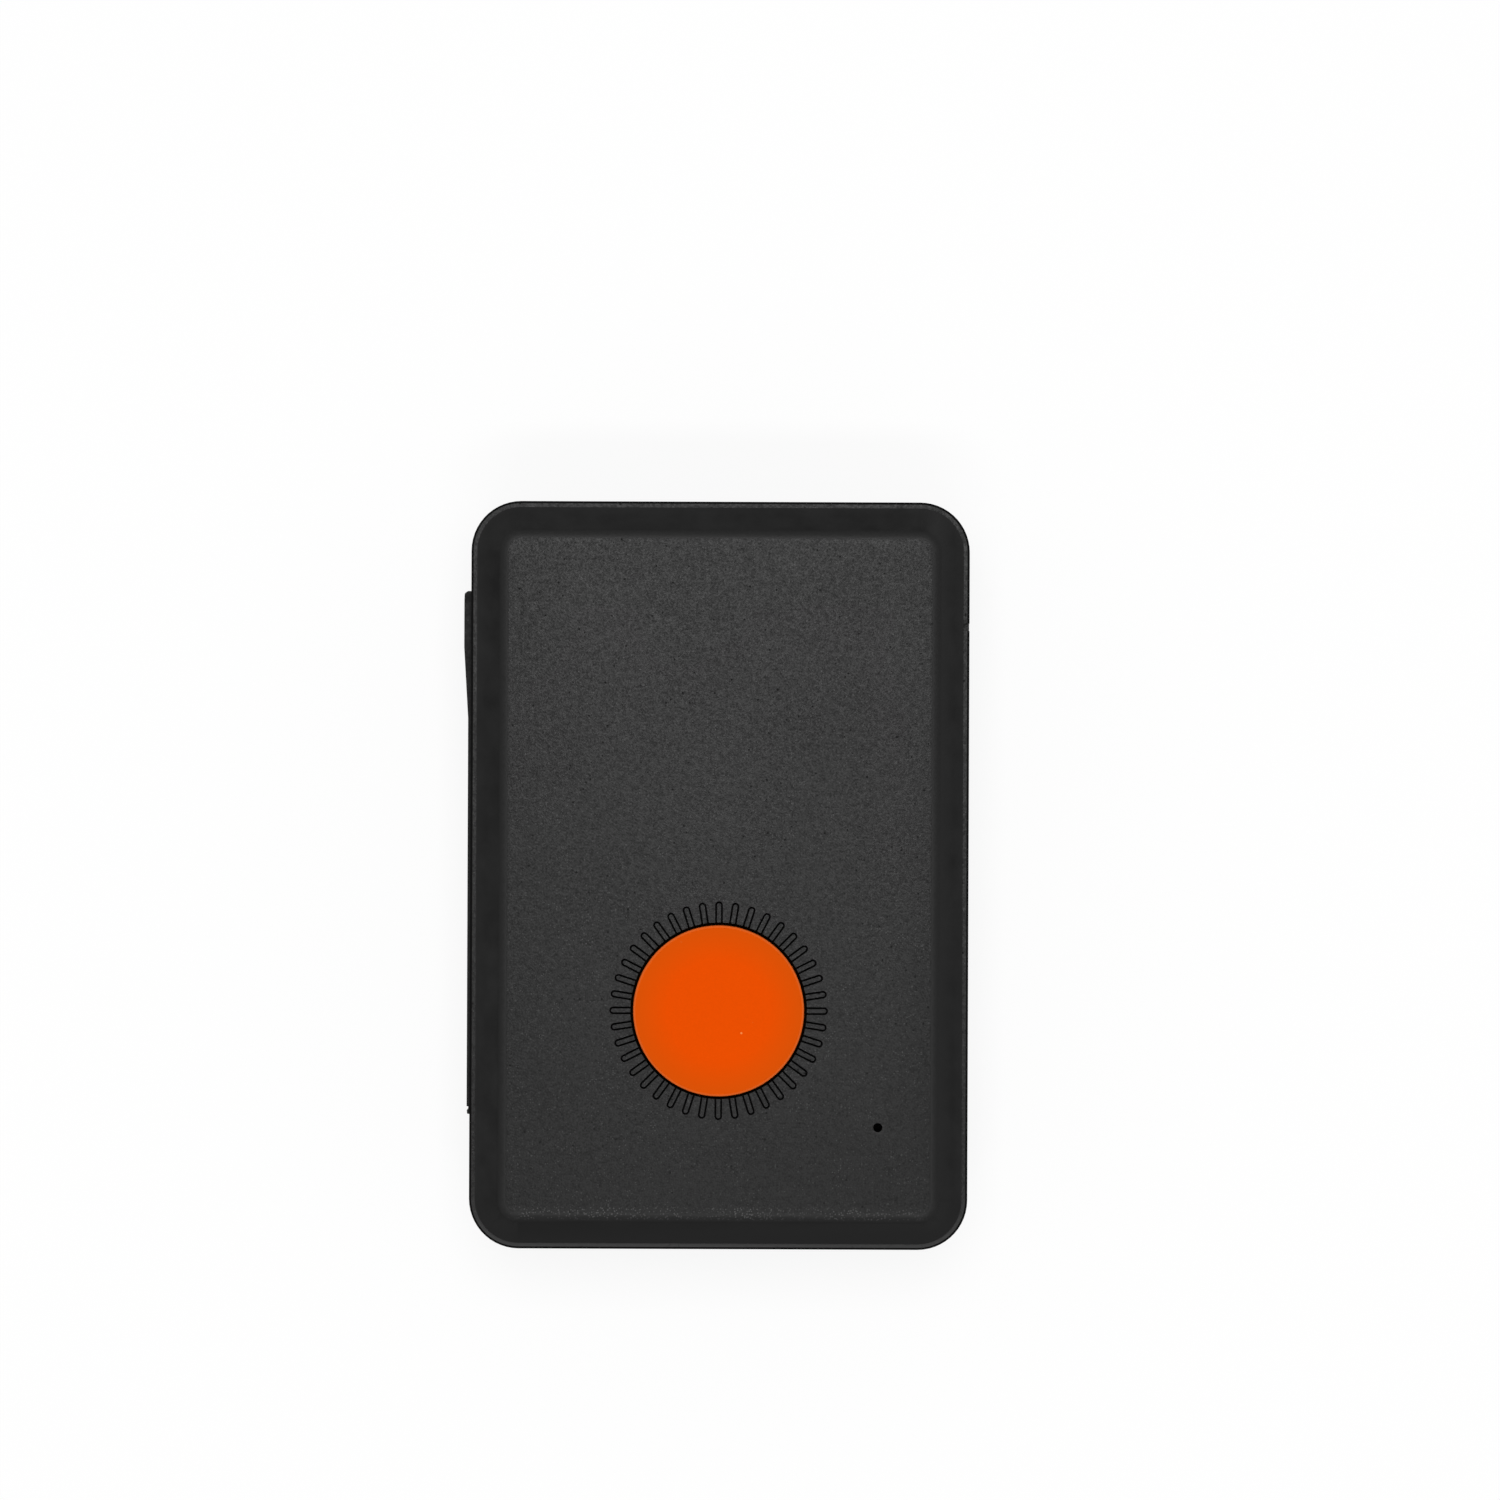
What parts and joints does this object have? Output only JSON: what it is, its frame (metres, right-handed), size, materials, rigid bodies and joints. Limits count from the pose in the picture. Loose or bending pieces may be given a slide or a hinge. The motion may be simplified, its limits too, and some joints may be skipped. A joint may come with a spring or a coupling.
{
  "type": "gps tracker",
  "caption": "Pocket position tracker: flat black case, round orange call button ringed by engraved rays, and a long rubber flap over its side ports.",
  "frame": {"origin": "middle of the flat rear face that the tracker lies on, measured without the flap", "axes": "+Z leaves the front panel, +Y points to the upper end, away from the button, and +X to the side opposite the flap"},
  "size_m": [0.0447, 0.066, 0.0174],
  "materials": {
    "shell": "moulded black plastic, finely textured matte",
    "rubber": "soft black silicone rubber, matte and slightly grainy",
    "orange_cap": "smooth satin orange plastic",
    "board": "green solder mask over glass-fibre laminate",
    "chip": "black moulded epoxy",
    "tinned": "tinned sheet steel",
    "screw_steel": "zinc-plated steel",
    "gold": "gold-plated copper",
    "pouch": "laminated aluminium pouch, satin",
    "ivory": "ivory moulded plastic",
    "ceramic": "unglazed antenna ceramic",
    "foam": "black closed-cell foam",
    "tape": "white double-sided tape",
    "clear": "clear moulded plastic",
    "card": "white plain plastic card",
    "wire": "PVC-insulated wire, one red and one black",
    "ochre": "ceramic chip capacitors and resistors"
  },
  "bodies": {
    "case": {"rear_cover": "shell", "front_cover": "shell", "case_seal": "rubber", "case_screws": "screw_steel", "tact_switch": "chip", "flap_anchor": "rubber", "circuit_board": "board", "board_screws": "screw_steel", "battery_cell": "pouch", "battery_tape": "tape", "battery_foam": "foam", "protection_board": "board", "battery_leads": "wire", "lead_plug": "ivory", "lead_header": "ivory", "gsm_module": "board", "gsm_shield": "tinned", "gps_patch": "ceramic", "gps_patch_foil": "tinned", "patch_tape": "foam", "gps_shield": "tinned", "antenna_carrier": "chip", "antenna_foil": "gold", "sim_socket": "tinned", "sim_contacts": "gold", "sim_card": "card", "usb_socket": "tinned", "usb_tongue": "chip", "slide_switch": "tinned", "status_leds": "ivory", "light_pipes": "clear", "microphone": "tinned", "mic_boot": "rubber", "board_chips": "chip", "board_passives": "ochre", "board_crystal": "gold"},
    "button": {"sos_button": "orange_cap"},
    "plunger": {"tact_plunger": "ivory"},
    "flap": {"port_flap": "rubber"},
    "slider": {"power_slider": "ivory"}
  },
  "joints": [
    {"name": "button_press", "type": "slide", "parent": "case", "child": "button", "axis": [0, 0, -1], "range_m": [0, 0.0003], "stiffness_N_per_m": 2500, "springref_m": -0.0001},
    {"name": "plunger_press", "type": "slide", "parent": "case", "child": "plunger", "axis": [0, 0, -1], "range_m": [0, 0.0003]},
    {"name": "flap_hinge", "type": "hinge", "parent": "case", "child": "flap", "pos_m": [-0.0223, -0.0207, 0.0094], "axis": [0, 0, 1], "range_deg": [0, 100]},
    {"name": "power_slide", "type": "slide", "parent": "case", "child": "slider", "axis": [0, 1, 0], "range_m": [0, 0.002]}
  ],
  "couplings": [
    {"joint": "plunger_press", "follows": "button_press", "ratio": 1}
  ]
}
